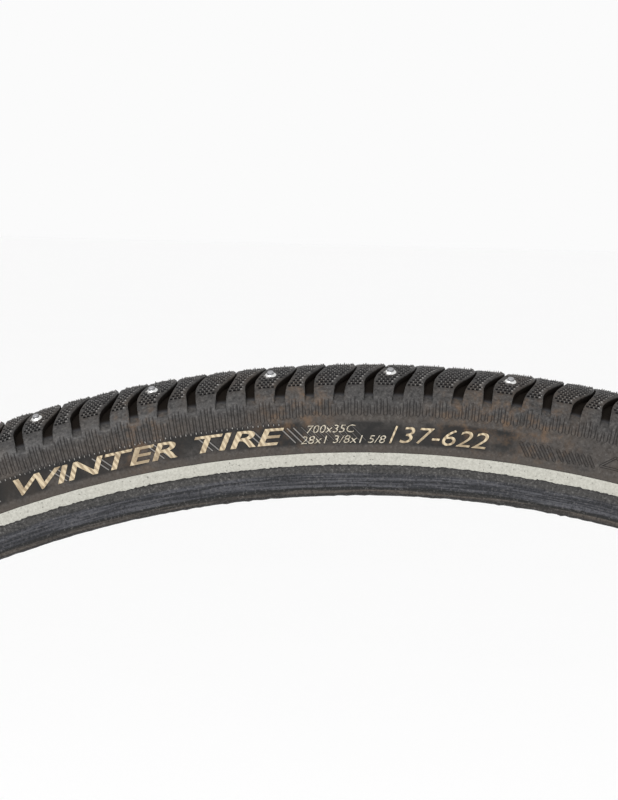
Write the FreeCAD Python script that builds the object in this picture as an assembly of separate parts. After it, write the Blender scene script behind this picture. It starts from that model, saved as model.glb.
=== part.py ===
import FreeCAD
import Part

import os
from math import asin, atan2, ceil, cos, degrees, radians, sin, sqrt, tan

# A 37-622 studded winter bicycle tyre, unmounted.
# Frame: origin at the wheel centre, the axle along +Y, +Z up. The printed side faces -Y,
# which is the right-hand side of a wheel that rolls towards +X.
# Sections are drawn in the Y-Z plane, where z is the distance from the axle, then revolved.

# ---- driving dimensions, mm and degrees ----
bead_seat_r = 311.0          # half of the 622 mm bead seat diameter
crown_r = 350.0              # outermost radius of the tread
half_width = 18.5            # half of the 37 mm section width

crown_arc_r = 23.0           # tread profile across the crown
crown_arc_deg = 45.0         # where the crown turns into the shoulder
widest_r = 332.0             # height at which the wall starts to run inwards
wall_arc_r = 45.0            # lower wall, seen in section
wall_end_r = 316.0           # below this the outside of the bead is straight
heel_fillet_r = 2.2
toe_y = 9.2                  # inner edge of the bead, from the centre plane
toe_fillet_r = 0.35

wall_rubber = 0.6            # rubber over the ply's turn-up
ply = 0.5                    # rubberised casing fabric
casing_crown_r = 345.4       # outer face of the casing under the tread
casing_shoulder_deg = 60.0   # where the casing's crown arc turns into its side
breaker_thick = 0.8
breaker_half_deg = 36.0
wing_end_r = 335.2           # lower edge of the tread rubber
seam_r = 320.4               # where wall rubber and rim strip meet
seam_depth = 1.0             # their joint slopes inwards and up by seam_rise
seam_rise = 0.5
rim_strip_inner_r = 317.5    # top edge of the rim strip inside the tyre
rim_strip_inner_y = 11.4

wire_r = 0.45                # one wire of the bead hoop
wire_gap = 0.02              # rubber film between neighbouring wires
wrap_thick = 0.25
chafer = 0.4                 # rim strip fabric round the bead
turn_up_r = 330.0            # top of the ply's turn-up and of the filler inside it
filler_top = 0.1             # rubber film between the ply and its turn-up
filler_knee_r = 321.0        # above this the filler is only that film
filler_inner_deg = 295.0     # where the filler leaves the hoop on the inside

strip_low_r = 320.8
strip_high_r = 324.5
strip_proud = 0.12
strip_sunk = 0.13

pitch_deg = 3.0              # one long and one short block on each side
groove_depth = 2.6           # at the crown, running out on the shoulder
groove_end_y = 18.4
groove_end_r = 339.9
side_stagger_deg = 1.5       # the left half of the pattern is shifted round by half a pitch

stud_count = 60              # on each side
stud_tilt_deg = 22.0         # stud axis from the radial direction, about the crown arc's centre
stud_base_r = 2.3
stud_base_depth = 3.3
stud_base_thick = 0.7
stud_base_taper = 0.25
stud_waist_r = 1.35
stud_collar_r = 1.75
stud_collar_depth = 0.7
stud_collar_taper = 0.4
stud_collar_rise = 0.15
stud_cone_rise = 0.55
stud_cone_r = 1.25
pin_r = 1.0
pin_depth = 1.9
pin_rise = 1.25
pin_chamfer = 0.2

# Groove edges in one pitch as (along the tread, out from the centre plane).
# Zero along the tread is a stud; positive is the +X way at the top of the wheel.
wide_groove_near = [(-4.9, 20.0), (-4.9, 11.5), (-1.8, 3.9), (-0.95, 0.0)]
wide_groove_far = [(-7.75, 20.0), (-7.75, 14.6), (-8.15, 12.3), (-3.6, 4.9), (-1.75, 0.0)]
tapered_groove_near = [(4.0, 20.0), (4.9, 13.9), (6.5, 10.8), (7.8, 6.5), (8.05, 0.0)]
tapered_groove_far = [(0.7, 20.0), (1.5, 13.5), (4.0, 10.8), (7.2, 6.1), (7.25, 0.0)]

# ---- names and small helpers ----
V = FreeCAD.Vector
centre = V(0, 0, 0)
axle = V(0, 1, 0)
sides = {"right": -1, "left": 1}

os.makedirs("parts", exist_ok=True)


def on_circle(cy, cz, radius, deg):
    """Point at an angle from straight up, turning towards +Y."""
    return V(0, cy + radius * sin(radians(deg)), cz + radius * cos(radians(deg)))


def arc(cy, cz, radius, start, end):
    middle = on_circle(cy, cz, radius, (start + end) / 2)
    return Part.Arc(on_circle(cy, cz, radius, start), middle, on_circle(cy, cz, radius, end)).toShape()


def line(a, b):
    return Part.makeLine(a, b)


def end_of(edge):
    return edge.valueAt(edge.LastParameter)


def start_of(edge):
    return edge.valueAt(edge.FirstParameter)


def face(edges):
    return Part.Face(Part.Wire(Part.__sortEdges__(edges)))


def mirrored(shape):
    return shape.mirror(centre, axle)


def both_sides(section):
    """A half section that ends on the centre plane, and its mirror image, as one face."""
    edges = [e for e in section.OuterWire.Edges if any(abs(v.Y) > 1e-6 for v in e.Vertexes)]
    return face(edges + [mirrored(e) for e in edges])


def ring(section):
    """Revolves a closed section about the axle into one solid."""
    solid = section.revolve(centre, axle, 360)
    solid = solid.Solids[0] if solid.Solids else Part.Solid(solid.Shells[0])
    if solid.Volume < 0:
        solid.reverse()
    return solid


def only_face(shape):
    assert len(shape.Faces) == 1, "section fell apart"
    return shape.Faces[0]


def export(node, shape):
    solids = shape.Solids
    assert solids and all(s.isValid() and s.Volume > 0 for s in solids), node
    shape.exportStep(f"parts/{node}.step")
    volume = sum(s.Volume for s in solids) / 1000
    print(f"{node}: {len(solids)} solid(s), {len(shape.Faces)} faces, {volume:.2f} cm3")


# ---- section curves of the +Y half ----
crown_centre_r = crown_r - crown_arc_r
crown_sin = sin(radians(crown_arc_deg))
shoulder_arc_r = (half_width - crown_arc_r * crown_sin) / (1 - crown_sin)
shoulder_y = half_width - shoulder_arc_r
shoulder_z = crown_centre_r + (crown_arc_r - shoulder_arc_r) * cos(radians(crown_arc_deg))


def wall_deg(z, radius):
    """Angle on a circle about the lower wall's centre where it is at height z."""
    return 90 + degrees(asin((widest_r - z) / radius))


wall_y = half_width - wall_arc_r
wall_end_deg = wall_deg(wall_end_r, wall_arc_r)
bead_slope = tan(radians(wall_end_deg - 90))
wall_end_y = wall_y + wall_arc_r * cos(radians(wall_end_deg - 90))


def outside_y(z):
    """Outside of the tyre below its widest point, as distance from the centre plane."""
    if z < wall_end_r:
        return wall_end_y - (wall_end_r - z) * bead_slope
    return wall_y + sqrt(wall_arc_r ** 2 - (widest_r - z) ** 2)


# casing: its crown arc and side arc meet at casing_shoulder_deg and reach the wall upright
casing_half = half_width - wall_rubber - ply - filler_top
casing_sin = sin(radians(casing_shoulder_deg))
casing_cos = cos(radians(casing_shoulder_deg))
casing_rise = casing_crown_r - widest_r
casing_arc_r = (casing_half * casing_cos - casing_rise * (1 - casing_sin)) / (
    casing_sin * casing_cos - (1 - casing_cos) * (1 - casing_sin)
)
casing_side_r = (casing_rise - casing_arc_r * (1 - casing_cos)) / casing_cos
casing_centre_r = casing_crown_r - casing_arc_r
casing_wall_r = casing_half - wall_y


def casing_edges(depth, bottom_r):
    """Casing surface, moved in by depth, from the crown down to bottom_r."""
    wall_r = casing_wall_r - depth
    return [
        arc(0, casing_centre_r, casing_arc_r - depth, 0, casing_shoulder_deg),
        arc(casing_half - casing_side_r, widest_r, casing_side_r - depth, casing_shoulder_deg, 90),
        arc(wall_y, widest_r, wall_r, 90, wall_deg(bottom_r, wall_r)),
    ]


def casing_region(bottom_r):
    """Everything inside the casing's outer face, down to bottom_r."""
    edges = casing_edges(0, bottom_r)
    low = end_of(edges[-1])
    foot = V(0, 0, low.z)
    return face(edges + [line(low, foot), line(foot, start_of(edges[0]))])


# ---- bead: wire hoop, wrap, filler and the ply that turns up round them ----
bundle_r = 3 * wire_r + wire_gap
bead_r = bundle_r + wrap_thick
bead_z = bead_seat_r + chafer + ply + bead_r
bead_y = outside_y(bead_z) - (bead_r + ply + chafer) / cos(radians(wall_end_deg - 90))


def upper_crossing(wall_r, hoop_r):
    """Where a circle about the wall's centre crosses one about the hoop, the higher point."""
    dy, dz = bead_y - wall_y, bead_z - widest_r
    gap = sqrt(dy * dy + dz * dz)
    along = (wall_r * wall_r - hoop_r * hoop_r + gap * gap) / (2 * gap)
    across = sqrt(wall_r * wall_r - along * along)
    foot_y, foot_z = wall_y + dy * along / gap, widest_r + dz * along / gap
    points = [V(0, foot_y - k * across * dz / gap, foot_z + k * across * dy / gap) for k in (-1, 1)]
    return max(points, key=lambda p: p.z)


def angle_about(cy, cz, point):
    """Angle of a point about a centre, from straight up towards +Y, 0 to 360."""
    return degrees(atan2(point.y - cy, point.z - cz)) % 360


def arc_off_hoop(start, end):
    """Arc that leaves the hoop's circle smoothly at start and runs to end."""
    out = (start - V(0, bead_y, bead_z)).normalize()
    chord = end - start
    reach = chord.dot(chord) / (2 * out.dot(chord))
    middle = start + out * reach
    crest = (start + end) / 2 - middle
    return Part.Arc(start, middle + crest.normalize() * abs(reach), end).toShape()


def round_bead(wall_r, hoop_r, inner_r):
    """Down the outer side of the bead, round the hoop, and up its inner side."""
    meet = upper_crossing(wall_r, hoop_r)
    top_deg = wall_deg(turn_up_r, casing_wall_r)
    outer = arc(wall_y, widest_r, wall_r, top_deg, angle_about(wall_y, widest_r, meet))
    around = arc(bead_y, bead_z, hoop_r, angle_about(bead_y, bead_z, meet), filler_inner_deg)
    film = arc(wall_y, widest_r, inner_r, wall_deg(filler_knee_r, casing_wall_r), top_deg)
    return [outer, around, arc_off_hoop(end_of(around), start_of(film)), film]


pocket = round_bead(casing_wall_r + filler_top, bead_r, casing_wall_r)
jacket = round_bead(casing_wall_r + filler_top + ply, bead_r + ply, casing_wall_r - ply)
pocket_face = face(pocket + [line(end_of(pocket[-1]), start_of(pocket[0]))])
jacket_face = face(jacket + [line(end_of(jacket[-1]), start_of(jacket[0]))])


def down_to_turn_up(depth):
    """Casing surface from the crown to the level of the turn-up's edge."""
    crown, side, _ = casing_edges(depth, turn_up_r)
    wall_r = casing_wall_r - depth
    return [crown, side, arc(wall_y, widest_r, wall_r, 90, wall_deg(turn_up_r, casing_wall_r))]


ply_outer = down_to_turn_up(0)
ply_inner = down_to_turn_up(ply)
ply_half = face(ply_outer + pocket + [line(start_of(pocket[0]), start_of(jacket[0]))] + jacket
                + ply_inner + [line(start_of(ply_inner[0]), start_of(ply_outer[0]))])

# ---- section faces ----
inside_casing = casing_region(strip_low_r)
crown_edge = arc(0, crown_centre_r, crown_arc_r, 0, crown_arc_deg)
shoulder_edge = arc(shoulder_y, shoulder_z, shoulder_arc_r, crown_arc_deg, 90)

breaker_low = arc(0, casing_centre_r, casing_arc_r, 0, breaker_half_deg)
breaker_high = arc(0, casing_centre_r, casing_arc_r + breaker_thick, 0, breaker_half_deg)
breaker_half = face([
    breaker_low, breaker_high,
    line(end_of(breaker_low), end_of(breaker_high)),
    line(start_of(breaker_low), start_of(breaker_high)),
])

wing_low = V(0, half_width, wing_end_r)
tread_half = only_face(face([
    crown_edge, shoulder_edge,
    line(end_of(shoulder_edge), wing_low),
    line(wing_low, V(0, 0, wing_end_r)),
    line(V(0, 0, wing_end_r), start_of(crown_edge)),
]).cut(inside_casing).cut(breaker_half))

seam_deg = wall_deg(seam_r, wall_arc_r)
wall_edge = arc(wall_y, widest_r, wall_arc_r, 90, seam_deg)
seam_point = end_of(wall_edge)
seam_in = V(0, seam_point.y - seam_depth, seam_point.z + seam_rise)
wall_top_in = V(0, seam_in.y, wing_end_r)


def strip_arc(offset):
    radius = wall_arc_r + offset
    return arc(wall_y, widest_r, radius, wall_deg(strip_high_r, radius), wall_deg(strip_low_r, radius))


strip_outer = strip_arc(strip_proud)
strip_inner = strip_arc(-strip_sunk)
strip_section = face([
    strip_outer, strip_inner,
    line(start_of(strip_outer), start_of(strip_inner)),
    line(end_of(strip_outer), end_of(strip_inner)),
])
wall_section = only_face(face([
    line(wing_low, start_of(wall_edge)), wall_edge,
    line(seam_point, seam_in),
    line(seam_in, wall_top_in),
    line(wall_top_in, wing_low),
]).cut(inside_casing).cut(jacket_face).cut(strip_section))

low_wall_edge = arc(wall_y, widest_r, wall_arc_r, seam_deg, wall_end_deg)
heel_corner_y = outside_y(bead_seat_r)
heel_cut = heel_fillet_r * tan(radians((180 - wall_end_deg) / 2))
heel_end_y = heel_corner_y - heel_cut
heel_edge = arc(heel_end_y, bead_seat_r + heel_fillet_r, heel_fillet_r, wall_end_deg, 180)
toe_edge = arc(toe_y + toe_fillet_r, bead_seat_r + toe_fillet_r, toe_fillet_r, 180, 270)
toe_side = V(0, toe_y, bead_z)
toe_top = V(0, rim_strip_inner_y, rim_strip_inner_r)
inner_limit = V(0, seam_in.y - 0.6, rim_strip_inner_r)
rim_outline = face([
    low_wall_edge,
    line(end_of(low_wall_edge), start_of(heel_edge)),
    heel_edge,
    line(end_of(heel_edge), start_of(toe_edge)),
    toe_edge,
    line(end_of(toe_edge), toe_side),
    line(toe_side, toe_top),
    line(toe_top, inner_limit),
    line(inner_limit, seam_in),
    line(seam_in, seam_point),
])
rim_section = only_face(rim_outline.cut(jacket_face))

hoop_centre = V(0, bead_y, bead_z)
hoop_face = Part.Face(Part.Wire(Part.makeCircle(bead_r, hoop_centre, V(1, 0, 0))))
filler_section = only_face(pocket_face.cut(hoop_face))


# ---- bead hoop: a middle wire with six round it, in one rubber wrap ----

def torus(place, tube_r):
    return Part.makeTorus(place.z, tube_r, V(0, place.y, 0), axle)


def bead_wires(side):
    places = [hoop_centre]
    for k in range(6):
        places.append(on_circle(bead_y, bead_z, 2 * wire_r + wire_gap, 60 * k))
    return [torus(V(0, side * p.y, p.z), wire_r) for p in places]


# ---- studs: built upright along Z with the tread surface at zero, then tilted and placed ----

def turned(profile):
    """Solid of revolution about Z from (radius, height) points."""
    points = [V(r, 0, z) for r, z in profile]
    outline = Part.Face(Part.makePolygon(points + points[:1]))
    return outline.revolve(centre, V(0, 0, 1), 360).Solids[0]


def stud_plug():
    """The body with no pin hole: a base flange, a waist and a coned collar."""
    return turned([
        (0, -stud_base_depth),
        (stud_base_r, -stud_base_depth),
        (stud_base_r, -stud_base_depth + stud_base_thick),
        (stud_waist_r, -stud_base_depth + stud_base_thick + stud_base_taper),
        (stud_waist_r, -stud_collar_depth - stud_collar_taper),
        (stud_collar_r, -stud_collar_depth),
        (stud_collar_r, stud_collar_rise),
        (stud_cone_r, stud_cone_rise),
        (0, stud_cone_rise),
    ])


def stud_pin():
    return turned([
        (0, -pin_depth),
        (pin_r, -pin_depth),
        (pin_r, pin_rise - pin_chamfer),
        (pin_r - pin_chamfer, pin_rise),
        (0, pin_rise),
    ])


def place_stud(shape, side, k):
    """Stands a stud in the tread: k counts round the wheel from the top."""
    out = shape.copy()
    out.translate(V(0, 0, crown_arc_r))
    out.rotate(centre, V(-1, 0, 0), side * stud_tilt_deg)
    out.translate(V(0, 0, crown_centre_r))
    stagger = side_stagger_deg if side > 0 else 0
    out.rotate(centre, axle, stagger + k * 360 / stud_count)
    return out


# ---- sectors: one stud pitch is made, and its skin is copied round and sewn shut ----
sector_deg = 360 / stud_count
sector_start = -1.5          # keeps the seams off the planes through the axle at 45 degrees
longest_facet = 3.0          # longest stretch of an even ring's section in one face


def sector(section, start, sweep):
    solid = section.revolve(centre, axle, sweep)
    solid.rotate(centre, axle, start)
    return solid


def on_end_plane(f, deg):
    normal = V(cos(radians(deg)), 0, -sin(radians(deg)))
    return all(abs(v.Point.dot(normal)) < 1e-6 for v in f.Vertexes)


def sewn_round(blank):
    """A closed ring from one sector: its end faces are dropped and the rest is copied round."""
    ends = (sector_start, sector_start + sector_deg)
    skin = [f for f in blank.Faces if not any(on_end_plane(f, deg) for deg in ends)]
    copies = []
    for k in range(stud_count):
        patch = Part.makeCompound(skin)
        patch.rotate(centre, axle, k * sector_deg)
        copies += patch.Faces
    sewn = Part.makeCompound(copies)
    sewn.sewShape(1e-4)
    solid = Part.Solid(sewn.Shells[0] if sewn.Shells else Part.Shell(sewn.Faces))
    if solid.Volume < 0:
        solid.reverse()
    return solid


def divided(section):
    """The same section with its edges cut into stretches no longer than longest_facet."""
    edges = []
    for e in section.OuterWire.Edges:
        count = ceil(e.Length / longest_facet)
        size = (e.LastParameter - e.FirstParameter) / count
        cuts = [e.FirstParameter + size * k for k in range(1, count)]
        edges += e.split(cuts).Edges if cuts else [e]
    return face(edges)


def even_ring(section):
    """A thin ring of many small faces that end at the same angles, so that its mesh is even all round."""
    return sewn_round(sector(divided(section), sector_start, sector_deg))


# ---- tread ----
groove_arc_r = (groove_end_y ** 2 + (crown_r - groove_depth - groove_end_r) ** 2) / (
    2 * (crown_r - groove_depth - groove_end_r))
groove_centre_r = crown_r - groove_depth - groove_arc_r


def under_grooves():
    """The rubber left below the groove floors, as a section wider than the tread."""
    reach = degrees(asin((groove_end_y + 0.6) / groove_arc_r))
    floor = arc(0, groove_centre_r, groove_arc_r, -reach, reach)
    low = wing_end_r - 2
    feet = [V(0, start_of(floor).y, low), V(0, end_of(floor).y, low)]
    return face([floor, line(end_of(floor), feet[1]), line(feet[1], feet[0]),
                 line(feet[0], start_of(floor))])


def groove_prism(near, far, side):
    """Upright prism over a groove's outline on one side of the centre plane."""
    outline = [V(u, side * y, wing_end_r) for u, y in near + far[::-1]]
    prism = Part.Face(Part.makePolygon(outline + outline[:1])).extrude(V(0, 0, crown_r))
    if side > 0:
        prism.rotate(centre, axle, side_stagger_deg)
    return prism


def groove_tools():
    outlines = [(wide_groove_near, wide_groove_far), (tapered_groove_near, tapered_groove_far)]
    prisms = []
    for near, far in outlines:
        for side in sides.values():
            prisms.append(groove_prism(near, far, side))
    around = []
    for k in range(-1, 4):
        for prism in prisms:
            copy = prism.copy()
            copy.rotate(centre, axle, k * pitch_deg)
            around.append(copy)
    keep = sector(under_grooves(), sector_start - 3 * pitch_deg, sector_deg + 6 * pitch_deg)
    return [tool.cut(keep) for tool in around]


def tread_solid():
    blank = sector(both_sides(tread_half), sector_start, sector_deg)
    for tool in groove_tools():
        blank = blank.cut(tool)
    for side in sides.values():
        for k in (0, 1):
            blank = blank.cut(place_stud(stud_plug(), side, k))
    return sewn_round(blank)


# ---- parts ----
export("tread", tread_solid())
export("puncture_breaker", even_ring(both_sides(breaker_half)))
export("carcass_ply", ring(both_sides(ply_half)))

pin = stud_pin()
body = stud_plug().cut(pin)
for name, side in sides.items():
    for node, section in [
        ("sidewall", wall_section),
        ("reflective_strip", strip_section),
        ("rim_strip", rim_section),
    ]:
        export(f"{node}_{name}", ring(section if side > 0 else mirrored(section)))
    export(f"bead_filler_{name}", even_ring(filler_section if side > 0 else mirrored(filler_section)))
    wires = bead_wires(side)
    wrap = torus(V(0, side * bead_y, bead_z), bead_r)
    for wire in wires:
        wrap = wrap.cut(wire)
    export(f"bead_wrap_{name}", wrap)
    export(f"bead_core_{name}", Part.makeCompound(wires))
    turns = range(stud_count)
    export(f"stud_bodies_{name}", Part.makeCompound([place_stud(body, side, k) for k in turns]))
    export(f"stud_pins_{name}", Part.makeCompound([place_stud(pin, side, k) for k in turns]))
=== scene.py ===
import math

import bpy
from mathutils import Matrix, Vector, noise
from mathutils.geometry import delaunay_2d_cdt


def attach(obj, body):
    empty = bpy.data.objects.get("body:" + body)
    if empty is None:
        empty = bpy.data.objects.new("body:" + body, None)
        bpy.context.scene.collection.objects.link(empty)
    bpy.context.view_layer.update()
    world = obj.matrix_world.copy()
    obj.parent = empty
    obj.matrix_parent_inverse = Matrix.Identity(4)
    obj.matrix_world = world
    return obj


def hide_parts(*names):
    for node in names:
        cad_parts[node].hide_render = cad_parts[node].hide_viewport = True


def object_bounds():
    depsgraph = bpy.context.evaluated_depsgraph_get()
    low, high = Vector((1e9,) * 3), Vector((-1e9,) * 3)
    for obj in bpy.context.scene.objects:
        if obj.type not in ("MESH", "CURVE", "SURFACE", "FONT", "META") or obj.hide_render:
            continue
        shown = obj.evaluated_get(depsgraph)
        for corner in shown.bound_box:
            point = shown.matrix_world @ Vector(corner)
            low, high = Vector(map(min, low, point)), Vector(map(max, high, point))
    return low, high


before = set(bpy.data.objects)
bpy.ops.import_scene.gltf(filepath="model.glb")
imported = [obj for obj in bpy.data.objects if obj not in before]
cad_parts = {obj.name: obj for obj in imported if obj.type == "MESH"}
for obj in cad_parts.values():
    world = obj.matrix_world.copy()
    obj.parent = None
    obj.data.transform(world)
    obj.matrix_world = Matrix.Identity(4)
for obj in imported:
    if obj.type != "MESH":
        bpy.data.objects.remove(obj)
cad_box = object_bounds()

# A studded winter bicycle tyre. Lengths below are in millimetres and angles in degrees unless said
# otherwise. Every surface point is given by phi, the angle round the axle from the top towards +X, by s,
# the distance from the crown line along the skin (negative on the printed -Y side), and by its lift
# above the skin.

MM = 0.001
TURN = 2 * math.pi

# ---- the section, the same as the CAD model's ----
CROWN_R = 350.0
CROWN_ARC_R = 23.0
CROWN_ARC_END = math.radians(45)
HALF_WIDTH = 18.5
WIDEST_R = 332.0
WALL_ARC_R = 45.0
WALL_END_R = 316.0
HEEL_FILLET = 2.2
BASE_R = 311.0
TOE_Y = 9.2
TOE_FILLET = 0.35
TOE_TOP_R = 313.5
RIM_STRIP_INNER = (11.4, 317.5)
STRIP_HIGH_R = 324.5
STRIP_LOW_R = 320.8
STRIP_PROUD = 0.12
CASING_CROWN_R = 344.9
CASING_ARC_R = 18.23
CASING_ARC_END = math.radians(60)
CASING_SHOULDER_R = 7.57
CASING_WALL_R = 43.3
CASING_LOW_R = 321.0

# ---- the tread ----
# Margins keep points inside a block's edges. SHALLOW is the groove depth below which its edges get less
# rounding, and a groove's painted shade fades out over SHADE_REACH. Painted shades and highlights are values
# of "deep", which is 0 on open rubber, 1 for the painted shade at the bottom of a hollow and below 0 where
# the
# rubber is painted pale: a painted highlight on block edges, and worn tips with a painted highlight on the
# pads.
PITCHES = 120
PITCH = math.radians(360 / PITCHES)
PITCH_LENGTH = CROWN_R * PITCH
GROOVE_DEPTH = 2.6
GROOVE_END_S = 22.0
GROOVE_FADE = 0.6
EDGE_ROUNDING = 0.24
WALL_DRAFT = 0.2
SMOOTHINGS = 4
PIT_ROWS = 1.18
PIT_COLUMN = PITCH_LENGTH / 14
PIT_HALF = 0.4
PIT_DEPTH = 0.65
KNURL_END_S = 16.2
STUDS = 60
STUD_TILT = math.radians(22)
STUD_S = CROWN_ARC_R * STUD_TILT
STUD_CLEAR = 2.3
PAD_RISE = 0.36
PAD_UNEVENNESS = 1.8
PIT_TAPER = 0.12
PIT_MARGIN = 0.09
PAD_MARGIN = 0.2
SMOOTH_MARGIN = 0.5
SMOOTH_ROWS = 1.2
SMOOTH_COLUMN = 1.9
SHALLOW = 1.2
SHADE_REACH = 5.2
# The next three paint shade on the knurl between its pits, paint the raised pads pale for worn tips and a
# painted highlight, and paint a highlight on the edges of a block's smooth part.
KNURL_SHADE = 0.48
PAD_WEAR_AND_HIGHLIGHT = -1.0
EDGE_HIGHLIGHT = -0.3
HOLLOW_FROM = 0.5

# One block, seen from above: (distance along the tyre, distance from the crown line across it).
BLOCK_LEFT = [(-4.9, -18.22), (-4.9, -11.5), (-1.8, -3.9), (-0.95, 0.0),
              (-1.36, 6.5), (-2.66, 10.8), (-4.26, 13.9), (-5.0, 18.22)]
BLOCK_RIGHT = [(0.9, -18.22), (1.5, -13.5), (4.0, -10.8), (7.2, -6.1), (7.41, 0.0),
               (5.56, 4.9), (1.01, 12.3), (1.41, 14.6), (1.41, 18.22)]


def build_skin():
    """The outer skin's section from the crown to the inner edge of the rim strip, as arcs and lines."""
    shoulder_r = (HALF_WIDTH - CROWN_ARC_R * math.sin(CROWN_ARC_END)) / (1 - math.sin(CROWN_ARC_END))
    shoulder_y = HALF_WIDTH - shoulder_r
    crown_centre_r = CROWN_R - CROWN_ARC_R
    shoulder_centre_r = crown_centre_r + (CROWN_ARC_R - shoulder_r) * math.cos(CROWN_ARC_END)
    wall_drop = math.asin((WIDEST_R - WALL_END_R) / WALL_ARC_R)
    wall_centre_y = HALF_WIDTH - WALL_ARC_R
    wall_end_y = wall_centre_y + WALL_ARC_R * math.cos(wall_drop)
    down = (-math.sin(wall_drop), -math.cos(wall_drop))
    to_base = (WALL_END_R - BASE_R) / math.cos(wall_drop)
    corner_y = wall_end_y + down[0] * to_base
    heel_turn = math.pi / 2 - wall_drop
    heel_reach = HEEL_FILLET * math.tan(heel_turn / 2)
    heel_start = (corner_y - down[0] * heel_reach, BASE_R - down[1] * heel_reach)
    heel_end_y = corner_y - heel_reach
    quarter = math.pi / 2
    return [
        ("arc", 0.0, crown_centre_r, CROWN_ARC_R, 0.0, CROWN_ARC_END),
        ("arc", shoulder_y, shoulder_centre_r, shoulder_r, CROWN_ARC_END, quarter),
        ("line", HALF_WIDTH, shoulder_centre_r, HALF_WIDTH, WIDEST_R),
        ("arc", wall_centre_y, WIDEST_R, WALL_ARC_R, quarter, quarter + wall_drop),
        ("line", wall_end_y, WALL_END_R, *heel_start),
        ("arc", heel_end_y, BASE_R + HEEL_FILLET, HEEL_FILLET, quarter + wall_drop, 2 * quarter),
        ("line", heel_end_y, BASE_R, TOE_Y + TOE_FILLET, BASE_R),
        ("arc", TOE_Y + TOE_FILLET, BASE_R + TOE_FILLET, TOE_FILLET, 2 * quarter, 3 * quarter),
        ("line", TOE_Y, BASE_R + TOE_FILLET, TOE_Y, TOE_TOP_R),
        ("line", TOE_Y, TOE_TOP_R, *RIM_STRIP_INNER),
    ]


def piece_length(piece):
    if piece[0] == "arc":
        return piece[3] * (piece[5] - piece[4])
    return math.hypot(piece[3] - piece[1], piece[4] - piece[2])


SKIN = build_skin()
SKIN_STARTS = [sum(piece_length(p) for p in SKIN[:i]) for i in range(len(SKIN) + 1)]


def skin(s):
    """Half width y, radius r and the outward normal's two parts at the distance s from the crown line."""
    i = max(j for j in range(len(SKIN)) if j == 0 or SKIN_STARTS[j] <= s)
    piece, along = SKIN[i], s - SKIN_STARTS[i]
    if piece[0] == "arc":
        a = piece[4] + along / piece[3]
        ny, nr = math.sin(a), math.cos(a)
        return piece[1] + piece[3] * ny, piece[2] + piece[3] * nr, ny, nr
    length = piece_length(piece)
    dy, dr = (piece[3] - piece[1]) / length, (piece[4] - piece[2]) / length
    return piece[1] + dy * along, piece[2] + dr * along, -dr, dy


def s_at_radius(r):
    """The distance from the crown line at which the wall between shoulder and heel has the radius r."""
    low, high = SKIN_STARTS[1], SKIN_STARTS[5]
    for _ in range(40):
        middle = (low + high) / 2
        if skin(middle)[1] > r:
            low = middle
        else:
            high = middle
    return low


def s_at_width(y):
    """The signed distance along the skin of the crown or shoulder point at the width y."""
    side = math.copysign(1, y)
    low, high = 0.0, SKIN_STARTS[2]
    for _ in range(40):
        middle = (low + high) / 2
        if skin(middle)[0] < abs(y):
            low = middle
        else:
            high = middle
    return side * low


def spot(phi, s, lift=0.0):
    """The point at angle phi and signed distance s, lifted off the skin, in metres."""
    y, r, ny, nr = skin(abs(s))
    side = -1 if s < 0 else 1
    r += nr * lift
    return Vector((r * math.sin(phi), side * (y + ny * lift), r * math.cos(phi))) * MM


class Sheet:
    """Points and faces gathered for one mesh, with a "deep" value at each point, -1 (painted pale: a painted
    highlight, with wear on the pads) to 1 (sunk, in painted shade).
    """

    def __init__(self):
        self.points = []
        self.faces = []
        self.deep = []

    def add(self, points, faces, deep):
        start = len(self.points)
        self.points += points
        self.faces += [tuple(i + start for i in f) for f in faces]
        self.deep += deep

    def grid(self, rows, closed=False):
        """Joins rows of equally many (point, deep) pairs by quads; a closed grid joins each row's ends."""
        start, n = len(self.points), len(rows[0])
        for row in rows:
            self.points += [p for p, _ in row]
            self.deep += [d for _, d in row]
        for i in range(len(rows) - 1):
            for j in range(n if closed else n - 1):
                a, b = start + i * n + j, start + i * n + (j + 1) % n
                self.faces.append((a, b, b + n, a + n))

    def make(self, name, material, slot, nodes, sharp=None, flip=False, hollow=None):
        """The finished piece. Its deep faces, if hollow is given, take that material."""
        mesh = bpy.data.meshes.new(name)
        faces = [f[::-1] for f in self.faces] if flip else self.faces
        mesh.from_pydata([tuple(p) for p in self.points], [], faces)
        if hollow:
            sunk = [sum(self.deep[i] for i in f) > HOLLOW_FROM * len(f) for f in faces]
            mesh.polygons.foreach_set("material_index", [int(below) for below in sunk])
        mesh.validate()
        layer = mesh.attributes.new("deep", "FLOAT", "POINT")
        layer.data.foreach_set("value", self.deep)
        mesh.shade_smooth()
        if sharp is not None:
            mesh.set_sharp_from_angle(angle=math.radians(sharp))
        mesh.materials.append(material)
        if hollow:
            mesh.materials.append(hollow)
        o = bpy.data.objects.new(name, mesh)
        bpy.context.scene.collection.objects.link(o)
        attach(o, "root")
        if nodes:
            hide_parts(*nodes)
        return o


# ---- the tread ----

def groove_depth(s):
    return GROOVE_DEPTH * max(0.0, 1 - (s / GROOVE_END_S) ** 2) ** GROOVE_FADE


def chain(corners, step=1.1):
    """A block edge as (u, s) points about a step apart, with its corners eased into curves."""
    line = [(u, s_at_width(y)) for u, y in corners]
    points = []
    for (u0, s0), (u1, s1) in zip(line, line[1:]):
        n = max(1, round((s1 - s0) / step))
        points += [(u0 + (u1 - u0) * k / n, s0 + (s1 - s0) * k / n) for k in range(n)]
    points.append(line[-1])
    for _ in range(SMOOTHINGS):
        inner = [((a[0] + 2 * b[0] + c[0]) / 4, b[1]) for a, b, c in zip(points, points[1:], points[2:])]
        points = [points[0]] + inner + [points[-1]]
    return points


def turned_over(points):
    """The same edge on the blocks of the other half: mirrored in the crown line, half a pitch on."""
    return [(u + PITCH_LENGTH / 2, -s) for u, s in reversed(points)]


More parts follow.
